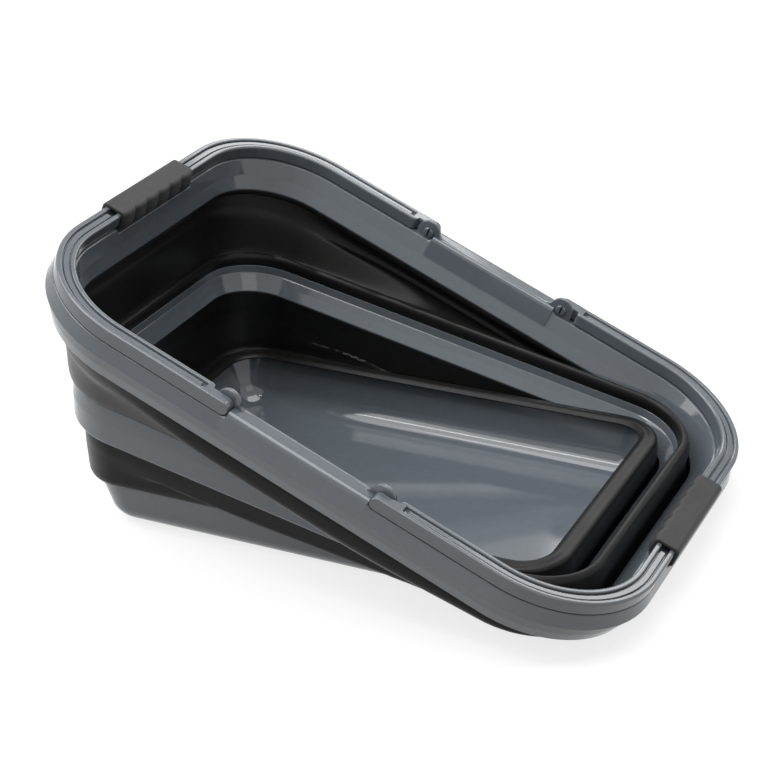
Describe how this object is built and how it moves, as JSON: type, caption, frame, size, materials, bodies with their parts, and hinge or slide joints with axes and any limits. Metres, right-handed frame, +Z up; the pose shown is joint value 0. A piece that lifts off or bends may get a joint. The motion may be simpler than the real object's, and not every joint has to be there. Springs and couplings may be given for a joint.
{
  "type": "collapsible bucket",
  "caption": "Rounded rectangular two-stage folding bucket with a rigid rim, ring and tray, two rubber bands and two swinging handles.",
  "frame": {"origin": "centre of the tray's flat underside, on the surface that the bucket stands on", "axes": "+X along the length towards the end that is pressed down at rest, +Y across the width, +Z up"},
  "size_m": [0.4158, 0.3218, 0.2104],
  "materials": {
    "slate_plastic": "smooth glossy polypropylene, slate grey",
    "black_rubber": "satin thermoplastic rubber, black",
    "grip_rubber": "matt soft grip, dark grey"
  },
  "bodies": {
    "base": {"base_tray": "slate_plastic"},
    "lower_band": {"lower_band": "black_rubber"},
    "ring": {"middle_ring": "slate_plastic"},
    "upper_band": {"upper_band": "black_rubber"},
    "rim": {"rim_frame": "slate_plastic"},
    "left_handle": {"left_handle": "slate_plastic", "left_grip": "grip_rubber", "left_near_pin": "slate_plastic", "left_far_pin": "slate_plastic"},
    "right_handle": {"right_handle": "slate_plastic", "right_grip": "grip_rubber", "right_near_pin": "slate_plastic", "right_far_pin": "slate_plastic"}
  },
  "joints": [
    {"name": "lower_press", "type": "hinge", "parent": "base", "child": "lower_band", "pos_m": [0.18059, 0, 0.02365], "axis": [0, -1, 0], "range_deg": [0, 12.04], "deforming": ["lower_band"]},
    {"name": "lower_lift", "type": "hinge", "parent": "lower_band", "child": "ring", "pos_m": [-0.18059, 0, 0.06175], "axis": [0, -1, 0], "range_deg": [0, 12.04], "deforming": ["lower_band"]},
    {"name": "upper_press", "type": "hinge", "parent": "ring", "child": "upper_band", "pos_m": [0.21192, 0, 0.00409], "axis": [0, -1, 0], "range_deg": [0, 11.43], "deforming": ["upper_band"]},
    {"name": "upper_lift", "type": "hinge", "parent": "upper_band", "child": "rim", "pos_m": [-0.1965, 0, 0.13489], "axis": [0, -1, 0], "range_deg": [0, 11.43], "deforming": ["upper_band"]},
    {"name": "left_handle_swing", "type": "hinge", "parent": "rim", "child": "left_handle", "pos_m": [-0.02565, 0, 0.13941], "axis": [0, 1, 0], "range_deg": [0, 106]},
    {"name": "right_handle_swing", "type": "hinge", "parent": "rim", "child": "right_handle", "pos_m": [0.078, 0, 0.0944], "axis": [0, -1, 0], "range_deg": [0, 106]}
  ]
}
